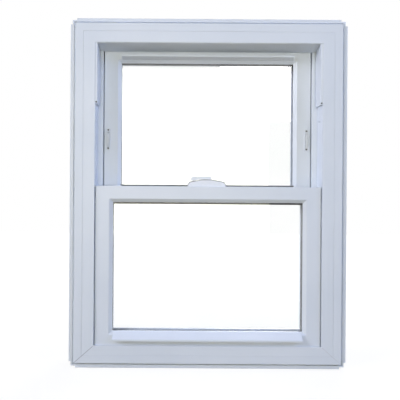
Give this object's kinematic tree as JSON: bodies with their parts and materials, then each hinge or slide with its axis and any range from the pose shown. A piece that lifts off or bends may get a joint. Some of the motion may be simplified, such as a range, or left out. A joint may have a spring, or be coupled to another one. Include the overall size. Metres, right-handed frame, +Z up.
{
  "type": "single hung window",
  "caption": "Vinyl single hung window with a fixed upper sash, a lifting lower sash, a cam lock on the meeting rail, vent stops and a finger lift rail.",
  "frame": {"origin": "middle of the flat sill base, halfway across the width and halfway through the frame depth", "axes": "+Z up, +X to the right as seen from the room, -Y towards the room"},
  "size_m": [0.558, 0.0921, 0.704],
  "materials": {
    "vinyl": "satin",
    "glass": "clear",
    "seal": "matt",
    "spacer": "mill",
    "lock": "satin",
    "clip": "moulded",
    "pile": "woven pile"
  },
  "bodies": {
    "root": {"bottom_seal": "seal", "frame_head": "vinyl", "frame_jamb_left": "vinyl", "frame_jamb_right": "vinyl", "frame_sill": "vinyl", "head_liner": "vinyl", "head_stop": "vinyl", "jamb_cover_left": "vinyl", "jamb_cover_right": "vinyl", "jamb_liner_left": "vinyl", "jamb_liner_right": "vinyl", "lock_base": "lock", "lock_keeper": "lock", "lock_lever": "lock", "lower_glass_gasket": "seal", "lower_glass_inner": "glass", "lower_glass_outer": "glass", "lower_glass_spacer": "spacer", "lower_glazing_beads": "vinyl", "lower_sash_bottom_rail": "vinyl", "lower_sash_meeting_rail": "vinyl", "lower_sash_stile_left": "vinyl", "lower_sash_stile_right": "vinyl", "lower_weatherstrip_left": "pile", "lower_weatherstrip_right": "pile", "meeting_weatherstrip": "pile", "tilt_latch_left": "clip", "tilt_latch_right": "clip", "upper_glass_gasket": "seal", "upper_glass_inner": "glass", "upper_glass_outer": "glass", "upper_glass_spacer": "spacer", "upper_glazing_beads": "vinyl", "upper_sash_meeting_rail": "vinyl", "upper_sash_stile_left": "vinyl", "upper_sash_stile_right": "vinyl", "upper_sash_top_rail": "vinyl", "upper_weatherstrip_left": "pile", "upper_weatherstrip_right": "pile", "vent_stop_left": "clip", "vent_stop_right": "clip", "vent_tongue_left": "clip", "vent_tongue_right": "clip", "weep_covers": "vinyl"}
  },
  "joints": []
}
